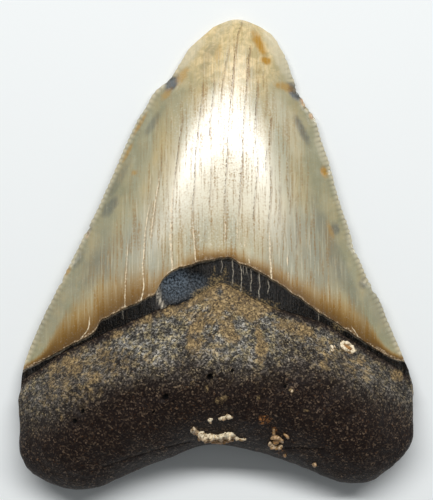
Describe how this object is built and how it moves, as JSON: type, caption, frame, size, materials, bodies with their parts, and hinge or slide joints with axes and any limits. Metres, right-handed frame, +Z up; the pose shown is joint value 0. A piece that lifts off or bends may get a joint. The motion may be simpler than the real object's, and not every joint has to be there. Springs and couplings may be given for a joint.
{
  "type": "fossil shark tooth",
  "caption": "Broad triangular fossil shark tooth with a thick lobed root, a dark gum-line band and a serrated enamel crown, lying on its flat face.",
  "frame": {"origin": "Under the middle of the tooth's outline, on the surface that it rests on.", "axes": "+Z up, away from the resting surface, so the domed inner face looks up; +Y from the root to the tip; +X to the right when the tooth is seen from above with its tip away from the viewer."},
  "size_m": [0.1026, 0.1225, 0.0268],
  "materials": {
    "fossil": "satin"
  },
  "bodies": {
    "root": {"tooth": "fossil"}
  },
  "joints": []
}
